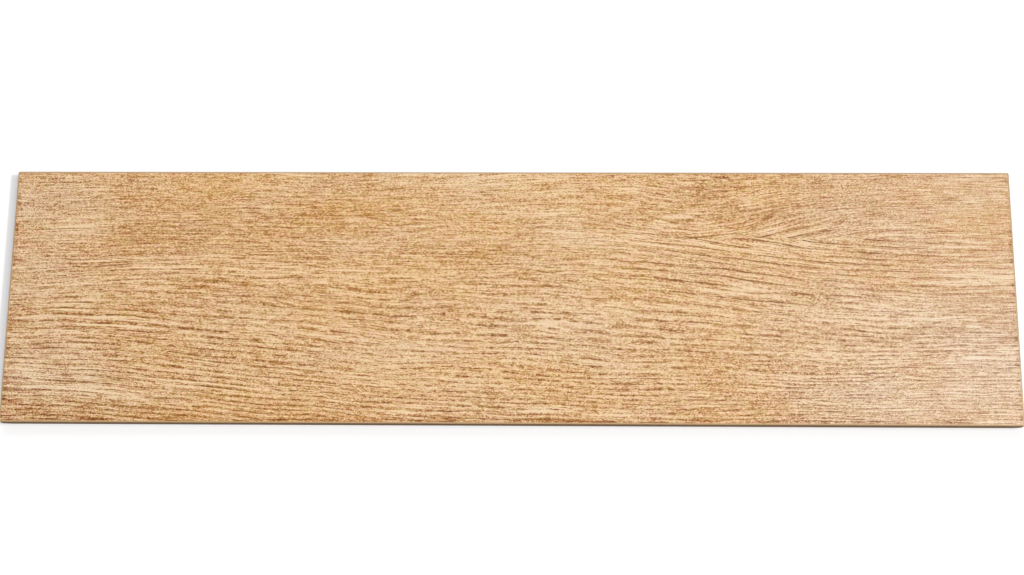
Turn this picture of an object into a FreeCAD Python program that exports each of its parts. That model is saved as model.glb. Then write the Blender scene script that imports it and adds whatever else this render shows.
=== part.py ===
"""Wood-look porcelain plank tile: one dust-pressed, glazed and fired slab.

The slab lies face up. X runs along the grain, Y across it, and Z = 0 is the bedding plane,
the faces of the ribs on the back that the adhesive wets first. The printed grain is left to the finish.
"""

import math
import os

import FreeCAD
import Part

# Driving dimensions, in millimetres.

LENGTH = 597.0  # face outline along the grain, sold as 24 in
WIDTH = 153.0  # face outline across the grain, sold as 6 in
THICKNESS = 9.5  # bedding plane to glazed face, sold as 3/8 in

ARRIS_RADIUS = 0.7  # glazed round between the face and the sides
FACE_CORNER_RADIUS = 0.2  # plan radius left at the corners of the flat face
DRAW_HEIGHT = 3.5  # lower part of the sides, which slopes so that the slab leaves its die
DRAW_IN = 0.3  # how far that slope draws the back in on every side
BACK_CORNER_RADIUS = 5.0  # plan radius at the corners of the back, wider so that they don't chip

RIM_WIDTH = 6.0  # plain border of the back, outside the key pattern
KEY_PITCH = 24.0  # wanted spacing of the sunk key cells, fitted to a whole number of them
RIB_WIDTH = 5.0  # rib left standing between two cells, at the bedding plane
KEY_DEPTH = 0.8  # how deep a cell is sunk
KEY_DRAFT_DEGREES = 40.0  # slope of a cell's walls from upright

UP = FreeCAD.Vector(0, 0, 1)


def rounded_rectangle(length, width, radius, centre):
    """Closed wire of a level rectangle with rounded corners, about a centre point."""
    corners = []
    for turn, (side_x, side_y) in enumerate([(1, 1), (-1, 1), (-1, -1), (1, -1)]):
        reach = FreeCAD.Vector(side_x * (length / 2 - radius), side_y * (width / 2 - radius), 0)
        quarter = math.pi / 2
        circle = Part.Circle(centre + reach, UP, radius)
        corners.append(circle.toShape(turn * quarter, (turn + 1) * quarter))
    edges = []
    for corner, following in zip(corners, corners[1:] + corners[:1]):
        side = Part.LineSegment(corner.Vertexes[-1].Point, following.Vertexes[0].Point)
        edges += [corner, side.toShape()]
    return Part.Wire(edges)


def pressed_slab():
    """The slab before its back is keyed: square upper edge, drawn-in lower edge, rounded arris."""
    band_foot = FreeCAD.Vector(0, 0, DRAW_HEIGHT)
    outline = rounded_rectangle(LENGTH, WIDTH, FACE_CORNER_RADIUS + ARRIS_RADIUS, band_foot)
    back_length = LENGTH - 2 * DRAW_IN
    back_width = WIDTH - 2 * DRAW_IN
    back = rounded_rectangle(back_length, back_width, BACK_CORNER_RADIUS, FreeCAD.Vector())

    square_edge = Part.Face(outline).extrude(UP * (THICKNESS - DRAW_HEIGHT))
    drawn_edge = Part.makeLoft([back, outline], True, True)
    slab = square_edge.fuse(drawn_edge).removeSplitter()

    face_edges = [edge for edge in slab.Edges if edge.BoundBox.ZMin > THICKNESS - ARRIS_RADIUS]
    return slab.makeFillet(ARRIS_RADIUS, face_edges)


def key_cell(length, width, x, y):
    """Cutter for one sunk cell of the back, narrowing upwards so that the die releases it."""
    inset = KEY_DEPTH * math.tan(math.radians(KEY_DRAFT_DEGREES))
    corner = FreeCAD.Vector(x - length / 2, y - width / 2, 0)
    mouth = Part.makePlane(length, width, corner)
    floor_corner = corner + FreeCAD.Vector(inset, inset, KEY_DEPTH)
    floor = Part.makePlane(length - 2 * inset, width - 2 * inset, floor_corner)
    return Part.makeLoft([mouth.OuterWire, floor.OuterWire], True, True)


def key_pattern():
    """Cutters of every key cell, in rows that fill the back inside its rim."""
    field_length = LENGTH - 2 * DRAW_IN - 2 * RIM_WIDTH + RIB_WIDTH
    field_width = WIDTH - 2 * DRAW_IN - 2 * RIM_WIDTH + RIB_WIDTH
    columns = max(1, round(field_length / KEY_PITCH))
    rows = max(1, round(field_width / KEY_PITCH))
    pitch_x = field_length / columns
    pitch_y = field_width / rows
    cells = []
    for column in range(columns):
        for row in range(rows):
            x = (column - (columns - 1) / 2) * pitch_x
            y = (row - (rows - 1) / 2) * pitch_y
            cells.append(key_cell(pitch_x - RIB_WIDTH, pitch_y - RIB_WIDTH, x, y))
    return cells


plank_tile = pressed_slab().cut(key_pattern())

os.makedirs("parts", exist_ok=True)
plank_tile.exportStep("parts/plank_tile.step")
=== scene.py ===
"""A wood-look porcelain plank tile, lying face up on a white studio floor.

The tile is one fired slab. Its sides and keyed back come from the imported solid. Its face is made here,
as a fine mesh whose pressed relief and printed oak grain are drawn by the same pattern.
Lengths are written in millimetres and turned to metres where Blender takes them.
"""

import math

import bmesh
import bpy
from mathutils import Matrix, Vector


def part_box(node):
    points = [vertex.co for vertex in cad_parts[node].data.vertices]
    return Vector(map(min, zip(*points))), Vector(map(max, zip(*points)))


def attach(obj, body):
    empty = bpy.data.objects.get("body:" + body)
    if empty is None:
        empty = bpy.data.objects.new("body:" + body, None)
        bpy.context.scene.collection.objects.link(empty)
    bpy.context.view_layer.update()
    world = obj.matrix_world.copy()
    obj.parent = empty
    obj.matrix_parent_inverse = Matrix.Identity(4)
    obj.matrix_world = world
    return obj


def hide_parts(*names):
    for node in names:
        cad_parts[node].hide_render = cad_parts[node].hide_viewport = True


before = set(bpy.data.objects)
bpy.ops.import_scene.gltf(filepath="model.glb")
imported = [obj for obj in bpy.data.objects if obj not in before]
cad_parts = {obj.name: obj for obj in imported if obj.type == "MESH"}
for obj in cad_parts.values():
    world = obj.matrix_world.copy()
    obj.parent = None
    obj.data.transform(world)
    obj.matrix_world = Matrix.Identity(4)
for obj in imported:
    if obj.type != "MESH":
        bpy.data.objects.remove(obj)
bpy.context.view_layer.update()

# The plank tile.
# A slab of porcelain, dust-pressed face up against a relief plate, coated with a satin glaze, printed with
# an oak grain by ink jet and fired once. The glaze runs out on the rounded arris, and the rest is bare.

MM = 0.001
TILE_NODE = "plank_tile"
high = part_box(TILE_NODE)[1]
HALF_LENGTH = high.x / MM
HALF_WIDTH = high.y / MM
FACE_HEIGHT = high.z / MM
SMOOTH = {"interpolation_type": "SMOOTHSTEP"}  # for a zone that sets in and ends softly


def add(tree, kind, inputs, **settings):
    """Adds a node with its settings, and sets or links each input, given by name or by place."""
    made = tree.nodes.new(kind)
    for setting, value in settings.items():
        setattr(made, setting, value)
    for key, value in inputs.items():
        if isinstance(value, bpy.types.Node):
            value = value.outputs[0]
        if isinstance(value, bpy.types.NodeSocket):
            tree.links.new(value, made.inputs[key])
        else:
            made.inputs[key].default_value = value
    return made


def streaks(tree, flow, length, width, seed, detail=1.0):
    """Soft noise drawn out along the grain, with spots of about that length and width in millimetres."""
    own_part = (seed * 7.31, seed * 3.17, seed)  # each seed gets a part of the noise of its own
    place = {0: flow, 1: (1 / length, 1 / width, 1), 2: own_part}
    place = add(tree, "ShaderNodeVectorMath", place, operation="MULTIPLY_ADD")
    noise = {"Vector": place, "Scale": 1.0, "Detail": detail, "Roughness": 0.6}
    return add(tree, "ShaderNodeTexNoise", noise)


def spot(tree, flat, middle, size, core):
    """How near a point is to the middle of a long spot, from 0 at its edge to 1 in its core.

    Size is the spot's half length and half width, and the core is a share of them.
    """
    away = add(tree, "ShaderNodeVectorMath", {0: flat, 1: (*middle, FACE_HEIGHT)}, operation="SUBTRACT")
    away = add(tree, "ShaderNodeVectorMath", {0: away, 1: (*size, 1)}, operation="DIVIDE")
    away = add(tree, "ShaderNodeVectorMath", {0: away}, operation="LENGTH").outputs["Value"]
    return add(tree, "ShaderNodeMapRange", {"Value": away, "From Min": 1.0, "From Max": core}, **SMOOTH)


def grain_rows(tree, flow, pitch, length, thickness, gap, sway, stray, seed):
    """Rows along the grain: how far a point is in a dark dash on a row, and in a pale streak between two.

    Pitch, length and thickness are the dashes' spacing, length and thickness in millimetres. Sway and
    stray are how far a row leaves its line over a long and a short stretch, and a larger gap leaves fewer
    dashes. The pale streak is partly cream print and partly a painted highlight beside the rows.
    """
    fray = 0.55  # how far the edge of a dash is frayed
    ink_spread, ink_thinning = 0.25, 0.35  # how far its colour fades out past its edge and inside it
    parts = add(tree, "ShaderNodeSeparateXYZ", {0: flow})
    count = add(tree, "ShaderNodeMath", {0: parts.outputs[1], 1: 1 / pitch}, operation="MULTIPLY")
    long_bend = streaks(tree, flow, 55, 8, seed)
    short_bend = streaks(tree, flow, 12, 3, seed + 40)
    for bend, reach in ((long_bend, sway), (short_bend, stray)):
        count = add(tree, "ShaderNodeMath", {0: bend, 1: reach / pitch, 2: count}, operation="MULTIPLY_ADD")

    # How far a point is from the middle of its row, as a share of the pitch, with the fraying about zero.
    frayed = streaks(tree, flow, 1.6, 0.6, seed + 20)
    off_row = add(tree, "ShaderNodeMath", {0: count, 1: 0.5}, operation="PINGPONG")
    off_row = {0: frayed, 1: -fray / pitch, 2: off_row}
    off_row = add(tree, "ShaderNodeMath", off_row, operation="MULTIPLY_ADD")
    off_row = add(tree, "ShaderNodeMath", {0: off_row, 1: 0.5 * fray / pitch}, operation="ADD")

    # Where a row has a dash, and where the space between two rows has a pale streak, part cream print and
    # part painted highlight. Streaks are longer.
    runs = []
    for rounding, drawn_out in (("ROUND", 1.0), ("FLOOR", 1.5)):
        row = add(tree, "ShaderNodeMath", {0: count}, operation=rounding)
        run = add(tree, "ShaderNodeCombineXYZ", {0: parts.outputs[0], 1: row, 2: parts.outputs[2]})
        scale = (1 / (length * drawn_out), 3.71, 1.0)  # the middle one makes each row's runs its own
        run = {0: run, 1: scale, 2: (0, 0, seed * 1.7 + drawn_out)}
        run = add(tree, "ShaderNodeVectorMath", run, operation="MULTIPLY_ADD")
        runs.append(add(tree, "ShaderNodeTexNoise", {"Vector": run, "Scale": 1.0, "Detail": 2.0}))
    dark_run, pale_run = runs

    half = 0.5 * thickness / pitch
    edge = {"Value": dark_run, "From Min": gap, "From Max": gap + 0.2, "To Min": -0.5 * half, "To Max": half}
    edge = add(tree, "ShaderNodeMapRange", edge)
    inside = add(tree, "ShaderNodeMath", {0: edge, 1: off_row}, operation="SUBTRACT")
    dash = {"Value": inside, "From Min": -ink_spread / pitch, "From Max": ink_thinning / pitch}
    dash = add(tree, "ShaderNodeMapRange", dash, **SMOOTH)
    # The pale streak between two rows is lighter as cream print and as a painted highlight beside the rows.
    between = add(tree, "ShaderNodeMapRange", {"Value": off_row, "From Min": 0.24, "From Max": 0.46})
    pale_run = add(tree, "ShaderNodeMapRange", {"Value": pale_run, "From Min": 0.40, "From Max": 0.66})
    pale = add(tree, "ShaderNodeMath", {0: between, 1: pale_run}, operation="MULTIPLY")
    return dash, pale


def oak_figure(tree, flat):
    """The board's figure: a field along X, bent so that everything drawn out along it follows the grain.

    Below the seam of the cathedral the lines fall to the right, mostly in the front left and round the V.
    Above the seam they rise to the right instead, so that the two sides meet in a V.
    """
    seam_place, seam_wobble = 33.0, 5.0  # how far behind the middle of the board it runs, give or take
    wave_height = 5.0
    parts = add(tree, "ShaderNodeSeparateXYZ", {0: flat})
    along, across = parts.outputs[0], parts.outputs[1]

    # Each bend has its start and end along the board, its drop, and the places across the board where it is
    # not felt and felt in full.
    below_seam = [
        (-290, -60, 15.0, 42, -48),
        (-150, 110, 7.0, 42, -48),
        (-330, -185, -7.0, 42, 12),
        (-330, -185, 7.0, 12, -28),
        (20, 230, 5.0, -76, -36),
        (35, 300, 9.0, -30, 16),
        (75, 200, 9.0, 2, 30),
    ]
    above_seam = [
        (30, 125, 5.0, 76, 40),
        (110, 235, -18.0, 74, 48),
        (-150, 20, -8.0, 44, 76),
    ]
    sides = []
    for bends in (below_seam, above_seam):
        bent = across
        for start, end, drop, none_at, full_at in bends:
            line = {"Value": along, "From Min": start, "From Max": end, "To Max": drop}
            line = add(tree, "ShaderNodeMapRange", line, **SMOOTH)
            zone = {"Value": across, "From Min": none_at, "From Max": full_at}
            zone = add(tree, "ShaderNodeMapRange", zone)
            bent = add(tree, "ShaderNodeMath", {0: line, 1: zone, 2: bent}, operation="MULTIPLY_ADD")
        sides.append(bent)
    wobble = add(tree, "ShaderNodeTexNoise", {"Vector": flat, "Scale": 0.09, "Detail": 2.0})  # about 11 mm
    seam = add(tree, "ShaderNodeMath", {0: wobble, 1: seam_wobble, 2: seam_place}, operation="MULTIPLY_ADD")
    over_seam = add(tree, "ShaderNodeMath", {0: across, 1: seam}, operation="GREATER_THAN")
    bent = add(tree, "ShaderNodeMix", {0: over_seam, 2: sides[0], 3: sides[1]})

    # Towards the right the two sides come to lie apart in the noise, so that no line crosses the seam.
    apart = add(tree, "ShaderNodeMapRange", {"Value": along, "From Min": 60, "From Max": 150, "To Max": 4.0})
    apart = add(tree, "ShaderNodeMath", {0: apart, 1: over_seam}, operation="MULTIPLY")

    # Slow waves in every line.
    waves = streaks(tree, flat, 70, 22, 1)
    bent = add(tree, "ShaderNodeMath", {0: waves, 1: wave_height, 2: bent}, operation="MULTIPLY_ADD")
    return add(tree, "ShaderNodeCombineXYZ", {0: along, 1: bent, 2: apart})


def oak_pores(tree, flat, flow):
    """The pores in their rows, from 0 to 1, and the pale streaks between the rows.

    They are strong in the front half and round the V, and weak in the speckled wood behind. The pale
    streaks are partly cream print and partly a painted highlight beside the pore rows.
    """
    parts = add(tree, "ShaderNodeSeparateXYZ", {0: flat})
    along, across = parts.outputs[0], parts.outputs[1]
    in_front = add(tree, "ShaderNodeMapRange", {"Value": across, "From Min": 18, "From Max": -14}, **SMOOTH)
    front_middle = spot(tree, flat, (20, -40), (140, 56), 0.5)
    round_v = spot(tree, flat, (190, 17), (190, 38), 0.5)
    front_right = spot(tree, flat, (260, -50), (170, 70), 0.5)

    # Stray short dashes in two sizes, which show by themselves at the back and faintly in all other zones.
    dash, pale = grain_rows(
        tree, flow, pitch=2.4, length=6.5, thickness=0.95, gap=0.34, sway=6.0, stray=2.0, seed=4
    )
    more_dash = grain_rows(
        tree, flow, pitch=3.7, length=5.0, thickness=1.0, gap=0.40, sway=6.0, stray=2.4, seed=14
    )[0]
    dash = add(tree, "ShaderNodeMath", {0: dash, 1: more_dash}, operation="MAXIMUM")
    faint = add(tree, "ShaderNodeMath", {0: dash, 1: 0.4}, operation="MULTIPLY")

    # Regular rows over the front half, shorter and closer ones in its middle and at its right, and long
    # lines round the V.
    row_sway, row_stray = 3.0, 0.8
    for zone, pitch, length, thickness, gap, seed in [
        (in_front, 3.1, 6.8, 1.0, 0.345, 5),
        (front_middle, 2.9, 4.4, 1.0, 0.36, 27),
        (round_v, 4.6, 18.0, 0.95, 0.31, 6),
        (front_right, 2.3, 4.2, 0.85, 0.36, 7),
    ]:
        rows = grain_rows(tree, flow, pitch, length, thickness, gap, row_sway, row_stray, seed)
        row_dash = add(tree, "ShaderNodeMath", {0: rows[0], 1: faint}, operation="MAXIMUM")
        dash = add(tree, "ShaderNodeMix", {0: zone, 2: dash, 3: row_dash})
        pale = add(tree, "ShaderNodeMix", {0: zone, 2: pale, 3: rows[1]})

    # Their strength, less in slow patches and towards the right end.
    front = {"Value": across, "From Min": 50, "From Max": -25, "To Min": 0.36, "To Max": 1.0}
    front = add(tree, "ShaderNodeMapRange", front, **SMOOTH)
    patch = streaks(tree, flow, 60, 16, 9)
    patch = {"Value": patch, "From Min": 0.3, "From Max": 0.6, "To Min": 0.75, "To Max": 1.0}
    patch = add(tree, "ShaderNodeMapRange", patch)
    strength = add(tree, "ShaderNodeMath", {0: front, 1: patch}, operation="MULTIPLY")
    strength = add(tree, "ShaderNodeMath", {0: strength, 1: round_v}, operation="MAXIMUM")
    end = {"Value": along, "From Min": 140, "From Max": 270, "To Min": 1.0, "To Max": 0.62}
    end = add(tree, "ShaderNodeMapRange", end, **SMOOTH)
    strength = add(tree, "ShaderNodeMath", {0: strength, 1: end}, operation="MULTIPLY")

    # Each dash is broken by paler bits, but the long lines round the V are nearly whole.
    broken = streaks(tree, flow, 3.5, 1.2, 11)
    broken = {"Value": broken, "From Min": 0.36, "From Max": 0.52, "To Min": 0.45}
    broken = add(tree, "ShaderNodeMapRange", broken)
    whole = add(tree, "ShaderNodeMath", {0: round_v, 1: 0.9}, operation="MULTIPLY")
    broken = add(tree, "ShaderNodeMath", {0: broken, 1: whole}, operation="MAXIMUM")
    pore = add(tree, "ShaderNodeMath", {0: dash, 1: strength}, operation="MULTIPLY")
    pore = add(tree, "ShaderNodeMath", {0: pore, 1: broken}, operation="MULTIPLY")
    pale = add(tree, "ShaderNodeMath", {0: pale, 1: strength}, operation="MULTIPLY")
    return pore, pale


def oak_fibres(tree, flat, flow):
    """Veins, fine fibres and the speckle of the printed dots, as layers of the tone with their weights.

    The dots are drawn coarser than real ones, which are too fine to show, and are calmer at the right end.
    """
    veins = streaks(tree, flow, 40, 3.0, 3)
    lines = streaks(tree, flow, 15, 0.52, 10)
    flecks = streaks(tree, flow, 4.5, 0.55, 7, detail=2.0)
    speckle = streaks(tree, flat, 0.7, 0.38, 8)
    speckle = add(tree, "ShaderNodeMath", {0: speckle, 1: 0.5}, operation="SUBTRACT")
    along = add(tree, "ShaderNodeSeparateXYZ", {0: flat}).outputs[0]
    calmer = {"Value": along, "From Min": 170, "From Max": 285, "To Min": 2.55, "To Max": 1.4}
    calmer = add(tree, "ShaderNodeMapRange", calmer, **SMOOTH)
    return [(veins, 0.20), (lines, 1.25), (flecks, 0.55), (speckle, calmer)]


def oak_rays(tree, flat, flow):
    """Cream rays, as layers of the tone with their weights.

    They are faint all over and bright where they gather in bundles. Three bundles at the left and one by
    the V have longer and wider rays, on wood that is a little darker.
    """
    rays = streaks(tree, flow, 40, 0.85, 6)
    rays = add(tree, "ShaderNodeMapRange", {"Value": rays, "From Min": 0.50, "From Max": 0.64}, **SMOOTH)
    bundle = streaks(tree, flow, 60, 9, 22)
    bundle = add(tree, "ShaderNodeMapRange", {"Value": bundle, "From Min": 0.54, "From Max": 0.72}, **SMOOTH)
    for middle, size in [
        ((-177, 18), (55, 11)),
        ((-262, 40), (40, 12)),
        ((-270, -46), (38, 8)),
        ((-25, 74), (75, 9)),
        ((57, 37), (50, 8)),
        ((169, 31), (45, 9)),
    ]:
        near = spot(tree, flat, middle, size, 0.4)
        bundle = add(tree, "ShaderNodeMath", {0: bundle, 1: near}, operation="MAXIMUM")
    glow = add(tree, "ShaderNodeMapRange", {"Value": bundle, "To Min": 0.14, "To Max": 0.60})

    long_rays = streaks(tree, flow, 150, 1.3, 23)
    long_rays = {"Value": long_rays, "From Min": 0.57, "From Max": 0.65}
    long_rays = add(tree, "ShaderNodeMapRange", long_rays, **SMOOTH)
    long_glow = 0.0
    for middle, size in [
        ((-235, -19), (95, 10)),
        ((-220, -54), (105, 13)),
        ((-195, 20), (95, 10)),
        ((110, 37), (100, 8)),
    ]:
        near = spot(tree, flat, middle, size, 0.5)
        long_glow = add(tree, "ShaderNodeMath", {0: near, 1: 0.55, 2: long_glow}, operation="MULTIPLY_ADD")
    return [(rays, glow), (bundle, 0.06), (long_rays, long_glow), (long_glow, -0.09)]


def brown_zones(tree, flat):
    """Browner wood at the back left, above the V, in the middle and at the right end, as a loss of tone."""
    brown = 0.0
    for middle, size, depth in [
        ((-180, 48), (170, 46), 0.11),
        ((125, 58), (120, 30), 0.075),
        ((-16, 28), (70, 18), 0.06),
        ((25, -14), (75, 30), 0.05),
        ((280, -20), (60, 36), 0.05),
    ]:
        near = spot(tree, flat, middle, size, 0.3)
        brown = add(tree, "ShaderNodeMath", {0: near, 1: -depth, 2: brown}, operation="MULTIPLY_ADD")
    return brown


def dark_ends(tree, flat, inwards):
    """The ends and edges, as layers of the tone with their weights.

    Both ends and the front are printed darker, and so is a thin broken line just inside the unprinted
    margin, least at the back and right.
    """
    parts = add(tree, "ShaderNodeSeparateXYZ", {0: flat})
    along, across = parts.outputs[0], parts.outputs[1]
    right = {"Value": along, "From Min": 80, "From Max": 300, "To Max": -0.08}
    right = add(tree, "ShaderNodeMapRange", right, **SMOOTH)
    right_zone = {"Value": across, "From Min": -70, "From Max": 50, "To Min": 0.5, "To Max": 1.0}
    right_zone = add(tree, "ShaderNodeMapRange", right_zone)
    left = {"Value": along, "From Min": -130, "From Max": -300, "To Max": -0.05}
    left = add(tree, "ShaderNodeMapRange", left, **SMOOTH)
    left_zone = {"Value": across, "From Min": 40, "From Max": -70, "To Min": 0.2, "To Max": 1.4}
    left_zone = add(tree, "ShaderNodeMapRange", left_zone)
    front = add(tree, "ShaderNodeMapRange", {"Value": across, "From Min": -45, "From Max": -72})

    rim = add(tree, "ShaderNodeMapRange", {"Value": inwards, "From Min": 4.2, "From Max": 1.4}, **SMOOTH)
    rim_run = streaks(tree, flat, 13, 2.6, 17, detail=2.0)
    rim_run = {"Value": rim_run, "From Min": 0.46, "From Max": 0.66, "To Min": -0.02, "To Max": -0.50}
    rim_run = add(tree, "ShaderNodeMapRange", rim_run)
    for way, strong_at, weak_at, least in [(across, 71, 74, 0.1), (along, -290, 290, 0.85)]:
        weaker = {"Value": way, "From Min": strong_at, "From Max": weak_at, "To Min": 1.0, "To Max": least}
        weaker = add(tree, "ShaderNodeMapRange", weaker)
        rim = add(tree, "ShaderNodeMath", {0: rim, 1: weaker}, operation="MULTIPLY")
    return [(right, right_zone), (left, left_zone), (front, -0.05), (rim, rim_run)]


def oak_grain(tree, place):
    """The oak grain: its flat place and the way in from the edge in millimetres, its tone and its pores.

    Place is in metres. The tone goes from 0 in the darkest wood to 1 in cream, and the pores from 0 to 1
    where the relief plate presses deepest.
    """
    in_mm = add(tree, "ShaderNodeVectorMath", {0: place, "Scale": 1 / MM}, operation="SCALE")
    parts = add(tree, "ShaderNodeSeparateXYZ", {0: in_mm})
    along, across = parts.outputs[0], parts.outputs[1]
    flat = add(tree, "ShaderNodeCombineXYZ", {0: along, 1: across, 2: FACE_HEIGHT})
    inwards = []
    for way, half_size in ((along, HALF_LENGTH), (across, HALF_WIDTH)):
        way = add(tree, "ShaderNodeMath", {0: way}, operation="ABSOLUTE")
        inwards.append(add(tree, "ShaderNodeMath", {0: half_size, 1: way}, operation="SUBTRACT"))
    inwards = add(tree, "ShaderNodeMath", {0: inwards[0], 1: inwards[1]}, operation="MINIMUM")

    # Slow bands of golden and pale wood, and every other layer on them, each with its weight.
    band_contrast, base_tone = 0.34, -0.412
    flow = oak_figure(tree, flat)
    pore, pale = oak_pores(tree, flat, flow)
    bands = streaks(tree, flow, 190, 15, 2)
    tone = add(tree, "ShaderNodeMath", {0: bands, 1: band_contrast, 2: base_tone}, operation="MULTIPLY_ADD")
    layers = oak_fibres(tree, flat, flow) + oak_rays(tree, flat, flow)
    # The pale streaks between the pore rows lighten the tone as cream print and as a painted highlight.
    layers += [(pale, 0.38), (brown_zones(tree, flat), 1.0), (pore, -0.57)]
    layers += dark_ends(tree, flat, inwards)
    for layer, weight in layers:
        tone = add(tree, "ShaderNodeMath", {0: layer, 1: weight, 2: tone}, operation="MULTIPLY_ADD")
    return flat, inwards, tone, pore


# Satin glaze with an ink-jet print: a tan oak face with dark pores, a soft haze of light and no clear
# reflection. The pores are a little duller than the glaze between them, and the margin is plain beige glaze.

OAK_COLOURS = [(0.0, "#72390A"), (0.22, "#9F6128"), (0.41, "#BC854A"), (0.66, "#DCAC77"), (0.95, "#F5D9B4")]
MARGIN_COLOUR = "#C6A276"
PRINT_MARGIN = 1.0  # glaze left unprinted along the edges
PRINT_FADE = 0.4  # and the width over which the print sets in
GLAZE_ROUGHNESS = 0.34
PORE_ROUGHNESS = 0.5
PEEL_SIZE = 0.5  # faint orange peel of the fired glaze, drawn somewhat coarser than the real one
PEEL_HEIGHT = 0.006
CERAMIC_IOR = 1.5


def srgb(code):
    """Linear colour of an sRGB hex code."""
    parts = [int(code[i : i + 2], 16) / 255 for i in (1, 3, 5)]
    linear = [part / 12.92 if part <= 0.04045 else ((part + 0.055) / 1.055) ** 2.4 for part in parts]
    return (*linear, 1.0)


glaze = bpy.data.materials.new("printed_satin_glaze")
glaze.use_nodes = True
tree = glaze.node_tree
tree.nodes.clear()
place = add(tree, "ShaderNodeTexCoord", {}).outputs["Object"]
flat, inwards, tone, pore = oak_grain(tree, place)
oak = add(tree, "ShaderNodeValToRGB", {"Fac": tone})
while len(oak.color_ramp.elements) < len(OAK_COLOURS):
    oak.color_ramp.elements.new(0.5)
for stop, (position, code) in zip(oak.color_ramp.elements, OAK_COLOURS):
    stop.position = position
    stop.color = srgb(code)

# Its hue varies a little from fibre to fibre and its saturation from zone to zone: less at both ends and at
# the front right, and more at the back left, where the extra saturation is painted in to cancel the haze
# that the lamps' reflection leaves there.
hue = streaks(tree, flat, 6, 1.6, 13, detail=2.0)
hue = add(tree, "ShaderNodeMapRange", {"Value": hue, "To Min": 0.47, "To Max": 0.53})
golden = streaks(tree, flat, 60, 25, 15)
golden = {"Value": golden, "From Min": 0.3, "From Max": 0.7, "To Min": 1.02, "To Max": 1.14}
golden = add(tree, "ShaderNodeMapRange", golden)
along = add(tree, "ShaderNodeSeparateXYZ", {0: flat}).outputs[0]
for start, end, least in [(-200, -290, 0.92), (120, 280, 0.91)]:
    plain_end = {"Value": along, "From Min": start, "From Max": end, "To Min": 1.0, "To Max": least}
    plain_end = add(tree, "ShaderNodeMapRange", plain_end, **SMOOTH)
    golden = add(tree, "ShaderNodeMath", {0: golden, 1: plain_end}, operation="MULTIPLY")
# The back left spot adds saturation, painted in against the haze of the lamps' reflection there.
for middle, size, more in [((300, -62), (190, 80), -0.11), ((-90, 66), (240, 60), 0.04)]:
    near = spot(tree, flat, middle, size, 0.2)
    golden = add(tree, "ShaderNodeMath", {0: near, 1: more, 2: golden}, operation="MULTIPLY_ADD")
oak = add(tree, "ShaderNodeHueSaturation", {"Color": oak, "Hue": hue, "Saturation": golden})

ragged = streaks(tree, flat, 1.2, 1.2, 18)
ragged = add(tree, "ShaderNodeMath", {0: ragged, 1: 0.5, 2: inwards}, operation="MULTIPLY_ADD")
printed = {"Value": ragged, "From Min": PRINT_MARGIN, "From Max": PRINT_MARGIN + PRINT_FADE}
printed = add(tree, "ShaderNodeMapRange", printed, **SMOOTH)
tint = {0: printed, 6: srgb(MARGIN_COLOUR), 7: oak.outputs[0]}
tint = add(tree, "ShaderNodeMix", tint, data_type="RGBA").outputs[2]
dull = {"Value": pore, "To Min": GLAZE_ROUGHNESS, "To Max": PORE_ROUGHNESS}
dull = add(tree, "ShaderNodeMapRange", dull)
peel = streaks(tree, flat, PEEL_SIZE, PEEL_SIZE, 19)
peel = add(tree, "ShaderNodeBump", {"Height": peel, "Strength": 1.0, "Distance": PEEL_HEIGHT * MM})
shader = {"Base Color": tint, "Roughness": dull, "Normal": peel, "IOR": CERAMIC_IOR}
shader = add(tree, "ShaderNodeBsdfPrincipled", shader)
add(tree, "ShaderNodeOutputMaterial", {"Surface": shader})

# Bare fired porcelain: a matt tan with a fine grit, darker than its own colour as painted shade on the
# sides. The ribs of the back keep a thin, patchy coat of the pale wash that stops a tile from sticking to
# the kiln rollers.

DARK_CLAY_AND_SHADE = "#6A4B22"
LIGHT_CLAY_AND_SHADE = "#8B6938"
WASH_COLOUR = "#C9BBA2"
BODY_ROUGHNESS = 0.8
GRIT_SIZE = 0.8  # drawn coarser than the real grit, which is too fine to show
GRIT_HEIGHT = 0.03
WASH_PATCH = 9.0
WASH_HEIGHT = 0.15  # how far up from the bedding plane the wash reaches

body = bpy.data.materials.new("bare_porcelain_body")
body.use_nodes = True
tree = body.node_tree
tree.nodes.clear()
place = add(tree, "ShaderNodeTexCoord", {}).outputs["Object"]
in_mm = add(tree, "ShaderNodeVectorMath", {0: place, "Scale": 1 / MM}, operation="SCALE")
grit = add(tree, "ShaderNodeTexNoise", {"Vector": in_mm, "Scale": 1 / GRIT_SIZE, "Detail": 3.0})
grains = add(tree, "ShaderNodeMapRange", {"Value": grit, "From Min": 0.3, "From Max": 0.7})
# Both clay colours are darker than the bare body, as painted shade on the sides.
clay_and_shade = {0: grains, 6: srgb(DARK_CLAY_AND_SHADE), 7: srgb(LIGHT_CLAY_AND_SHADE)}
clay_and_shade = add(tree, "ShaderNodeMix", clay_and_shade, data_type="RGBA").outputs[2]
patches = add(tree, "ShaderNodeTexNoise", {"Vector": in_mm, "Scale": 1 / WASH_PATCH, "Detail": 4.0})
patches = add(tree, "ShaderNodeMapRange", {"Value": patches, "From Min": 0.40, "From Max": 0.62})
up = add(tree, "ShaderNodeSeparateXYZ", {0: in_mm}).outputs[2]
on_rib = add(tree, "ShaderNodeMapRange", {"Value": up, "From Min": WASH_HEIGHT, "From Max": 0.0})
wash = add(tree, "ShaderNodeMath", {0: patches, 1: on_rib}, operation="MULTIPLY")
clay_and_shade = {0: wash, 6: clay_and_shade, 7: srgb(WASH_COLOUR)}
clay_and_shade = add(tree, "ShaderNodeMix", clay_and_shade, data_type="RGBA").outputs[2]
rough = add(tree, "ShaderNodeBump", {"Height": grit, "Strength": 1.0, "Distance": GRIT_HEIGHT * MM})
shader = {"Base Color": clay_and_shade, "Roughness": BODY_ROUGHNESS, "Normal": rough, "IOR": CERAMIC_IOR}
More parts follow.
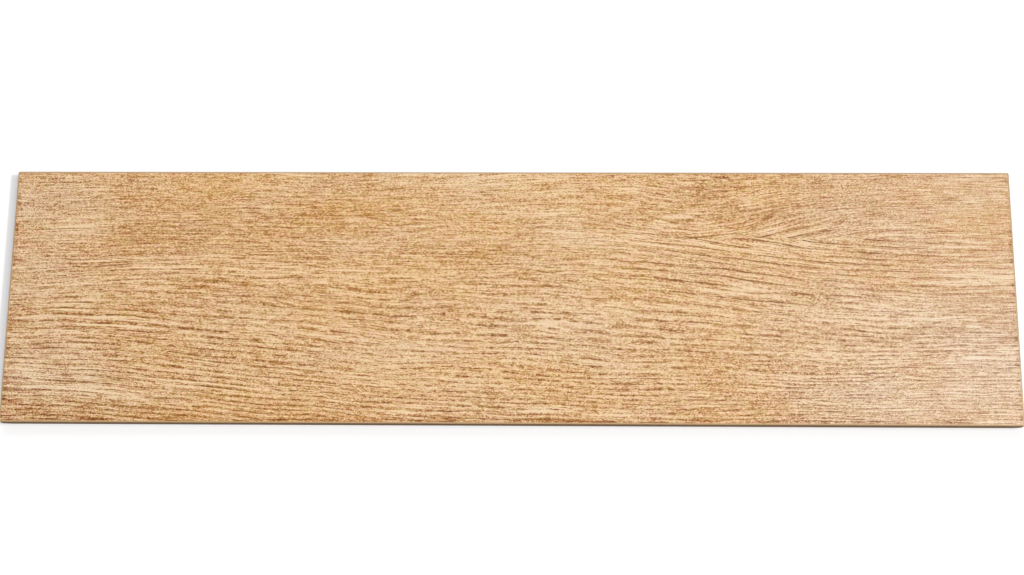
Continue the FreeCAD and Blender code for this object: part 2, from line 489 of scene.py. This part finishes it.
shader = add(tree, "ShaderNodeBsdfPrincipled", shader)
add(tree, "ShaderNodeOutputMaterial", {"Surface": shader})

# The slab's mesh: the solid's own, cut in two at its middle for the layout of its finish, with its flat face
# taken out and filled with a grid that is fine enough for the relief.

ARRIS_RADIUS = 0.7  # glazed round between the face and the sides, as in the solid
GLAZE_DROP = 0.33  # how far down the arris the glaze reaches
GRID_LENGTH = 2.0  # a grid cell along the grain
GRID_WIDTH = 0.52  # and across it
GRID_BORDER = 0.5  # plain strip left round the grid
SHARP_ANGLE = math.radians(35)
HAIR = 0.001  # places that are nearer than this are the same

tile = bpy.data.objects.new("plank_tile_glazed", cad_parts[TILE_NODE].data.copy())
bpy.context.scene.collection.objects.link(tile)
tile.data.materials.clear()
tile.data.materials.append(glaze)
tile.data.materials.append(body)

mesh = bmesh.new()
mesh.from_mesh(tile.data)
bmesh.ops.remove_doubles(mesh, verts=mesh.verts, dist=HAIR * MM)
all_of_it = mesh.verts[:] + mesh.edges[:] + mesh.faces[:]
bmesh.ops.bisect_plane(mesh, geom=all_of_it, dist=HAIR * MM, plane_co=(0, 0, 0), plane_no=(1, 0, 0))
for edge in mesh.edges:
    edge.smooth = edge.calc_face_angle(0) < SHARP_ANGLE
flat_faces = []
for face in mesh.faces:
    lowest = min(vertex.co.z for vertex in face.verts)
    face.material_index = 0 if lowest > (FACE_HEIGHT - GLAZE_DROP) * MM else 1
    if lowest > (FACE_HEIGHT - HAIR) * MM:
        flat_faces.append(face)
bmesh.ops.delete(mesh, geom=flat_faces, context="FACES")
rim = [edge for edge in mesh.edges if edge.is_boundary]

half_x = HALF_LENGTH - ARRIS_RADIUS - GRID_BORDER
half_y = HALF_WIDTH - ARRIS_RADIUS - GRID_BORDER
columns = 2 * round(half_x / GRID_LENGTH)
rows = round(2 * half_y / GRID_WIDTH)
grid = bmesh.ops.create_grid(mesh, x_segments=columns, y_segments=rows, size=1.0)["verts"]
for vertex in grid:
    vertex.co = (vertex.co.x * half_x * MM, vertex.co.y * half_y * MM, high.z)
grid_rim = {edge for vertex in grid for edge in vertex.link_edges if edge.is_boundary}
bmesh.ops.triangle_fill(mesh, edges=rim + list(grid_rim), use_beauty=True, normal=(0, 0, 1))
for face in mesh.faces:
    face.smooth = True
    if min(vertex.co.z for vertex in face.verts) > (FACE_HEIGHT - HAIR) * MM:
        face.material_index = 0

# The layout for a flat copy of the finish: the face in two halves, one above the other, with the sides
# folded out round them, and the back turned upright beside them at a smaller scale.

SHEET_MARGIN = 1.0
BACK_GAP = 3.0  # between the face's sheet and the back's
EDGE_STRIP = 3.0  # faces nearer to the outline than this may belong to the sides
FACE_SLOPE = 0.5  # a face whose normal points up more than this lies on the glazed side
SIDE_SLOPE = -0.6  # and one that points down more than this lies on the back

side_height = FACE_HEIGHT + SHEET_MARGIN
half_sheet = 2 * (HALF_WIDTH + side_height)
back_scale = half_sheet / HALF_LENGTH
back_start = HALF_LENGTH + side_height + BACK_GAP
sheet_size = back_start + 2 * HALF_WIDTH * back_scale + SHEET_MARGIN
layout = mesh.loops.layers.uv.new("OFBake")
for face in mesh.faces:
    face.normal_update()
    normal = face.normal
    middle = face.calc_center_median() / MM
    left = middle.x < 0
    near_edge = abs(middle.x) > HALF_LENGTH - EDGE_STRIP or abs(middle.y) > HALF_WIDTH - EDGE_STRIP
    on_top = normal.z > FACE_SLOPE
    on_side = near_edge and not on_top and normal.z > SIDE_SLOPE
    for corner in face.loops:
        x, y, z = corner.vert.co / MM
        below = FACE_HEIGHT - z
        if on_side and abs(normal.x) > abs(normal.y):
            x = math.copysign(HALF_LENGTH + below, x)
        elif on_side:
            y = math.copysign(HALF_WIDTH + below, y)
        if on_top or on_side:
            u = HALF_LENGTH + side_height + (x if left else -x)
            v = half_sheet / 2 + y if left else 1.5 * half_sheet - y
        else:
            u = back_start + (y + HALF_WIDTH) * back_scale
            v = (x + HALF_LENGTH) * back_scale
        corner[layout].uv = (u / sheet_size, v / sheet_size)
mesh.to_mesh(tile.data)
mesh.free()

# The relief: pores pressed down into the face, and nothing raised above it.

PORE_DEPTH = 0.14  # how deep the relief plate presses the darkest pores
FULL_RELIEF = 3.0  # how far in from the edge the relief has its full depth

relief = bpy.data.node_groups.new("pressed_relief", "GeometryNodeTree")
relief.interface.new_socket("Geometry", in_out="INPUT", socket_type="NodeSocketGeometry")
relief.interface.new_socket("Geometry", in_out="OUTPUT", socket_type="NodeSocketGeometry")
slab = add(relief, "NodeGroupInput", {})
place = add(relief, "GeometryNodeInputPosition", {})
flat, inwards, tone, pore = oak_grain(relief, place)
inner = {"Value": inwards, "From Min": ARRIS_RADIUS + GRID_BORDER + HAIR, "From Max": FULL_RELIEF}
inner = add(relief, "ShaderNodeMapRange", inner)
up = add(relief, "ShaderNodeSeparateXYZ", {0: place}).outputs[2]
on_face = add(relief, "ShaderNodeMath", {0: up, 1: (FACE_HEIGHT - HAIR) * MM}, operation="GREATER_THAN")
depth = pore
for share in (inner, on_face, -PORE_DEPTH * MM):
    depth = add(relief, "ShaderNodeMath", {0: depth, 1: share}, operation="MULTIPLY")
down = add(relief, "ShaderNodeCombineXYZ", {2: depth})
pressed = add(relief, "GeometryNodeSetPosition", {"Geometry": slab, "Offset": down})
add(relief, "NodeGroupOutput", {0: pressed})
tile.modifiers.new("pressed_relief", "NODES").node_group = relief
pressed_tile = tile.evaluated_get(bpy.context.evaluated_depsgraph_get())
tile_mesh = bpy.data.meshes.new_from_object(pressed_tile)
tile.modifiers.clear()
tile.data = tile_mesh
tile.data.name = "plank_tile_glazed"

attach(tile, "root")
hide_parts(TILE_NODE)

# The floor.
# A white studio sheet that the tile lies on. It keeps the tile's shadow and shows as plain white elsewhere.

FLOOR_SIZE = 12.0  # metres
FLOOR_GAP = 0.02  # the sheet lies this much below the bedding plane, so that the two don't meet in one plane
floor_mesh = bmesh.new()
bmesh.ops.create_grid(floor_mesh, x_segments=1, y_segments=1, size=FLOOR_SIZE / 2)
floor_data = bpy.data.meshes.new("studio_floor")
floor_mesh.to_mesh(floor_data)
floor_mesh.free()
floor = bpy.data.objects.new("studio_floor", floor_data)
floor.location.z = -FLOOR_GAP * MM
bpy.context.scene.collection.objects.link(floor)

# Matt white paper, with a little light of its own where it is looked at, so that it shows white.

PAPER_COLOUR = "#E7E7E7"
PAPER_GLOW = 0.28
paper = bpy.data.materials.new("matt_white_paper")
paper.use_nodes = True
tree = paper.node_tree
tree.nodes.clear()
light_path = add(tree, "ShaderNodeLightPath", {}).outputs
seen = light_path["Is Camera Ray"]
for kind_of_ray in ("Is Glossy Ray", "Is Transmission Ray"):
    seen = add(tree, "ShaderNodeMath", {0: seen, 1: light_path[kind_of_ray]}, operation="ADD")
seen = add(tree, "ShaderNodeMath", {0: seen, 1: PAPER_GLOW}, operation="MULTIPLY")
sheet = add(tree, "ShaderNodeBsdfDiffuse", {"Color": srgb(PAPER_COLOUR)})
glow = add(tree, "ShaderNodeEmission", {"Strength": seen})
both = add(tree, "ShaderNodeAddShader", {0: sheet, 1: glow})
add(tree, "ShaderNodeOutputMaterial", {"Surface": both})
floor.data.materials.append(paper)

# The light.
# A far lamp on the right throws the shadow at the left end. Wide sheets behind and in front light the face
# evenly, a soft box leaves a haze on the right end, and a dim even room fills the rest. In metres and watts.

for name, place, size, power in [
    ("key_lamp", (9.45, -1.1, 12.0), 1.1, 1010),
    ("back_sheet", (-0.3, 2.9, 4.0), 2.0, 36),
    ("front_sheet", (0.0, -1.1, 4.3), 1.4, 40),
    ("soft_box", (1.85, 0.12, 4.0), 1.0, 42),
]:
    light = bpy.data.lights.new(name, "AREA")
    light.size = size
    light.energy = power
    lamp = bpy.data.objects.new(name, light)
    bpy.context.scene.collection.objects.link(lamp)
    lamp.location = place
    lamp.rotation_euler = (-lamp.location).to_track_quat("-Z", "Y").to_euler()

ROOM_COLOUR = "#FFFFFF"
ROOM_STRENGTH = 0.12
room = bpy.data.worlds.new("even_room")
bpy.context.scene.world = room
room.use_nodes = True
room_light = room.node_tree.nodes["Background"].inputs
room_light["Color"].default_value = srgb(ROOM_COLOUR)
room_light["Strength"].default_value = ROOM_STRENGTH

# The camera.
# It looks down on the face from the front, as in the photograph.

CAMERA_PLACE = (21.05, -220.75, 960.7)
CAMERA_TURN = (13.359, 1.086, 0.423)  # degrees
LENS = 58.0
SENSOR_WIDTH = 36.0
camera = bpy.data.objects.new("camera", bpy.data.cameras.new("camera"))
camera.data.lens = LENS
camera.data.sensor_width = SENSOR_WIDTH
camera.location = Vector(CAMERA_PLACE) * MM
camera.rotation_euler = [math.radians(value) for value in CAMERA_TURN]
bpy.context.scene.collection.objects.link(camera)
bpy.context.scene.camera = camera
bpy.context.scene.view_settings.view_transform = "Standard"
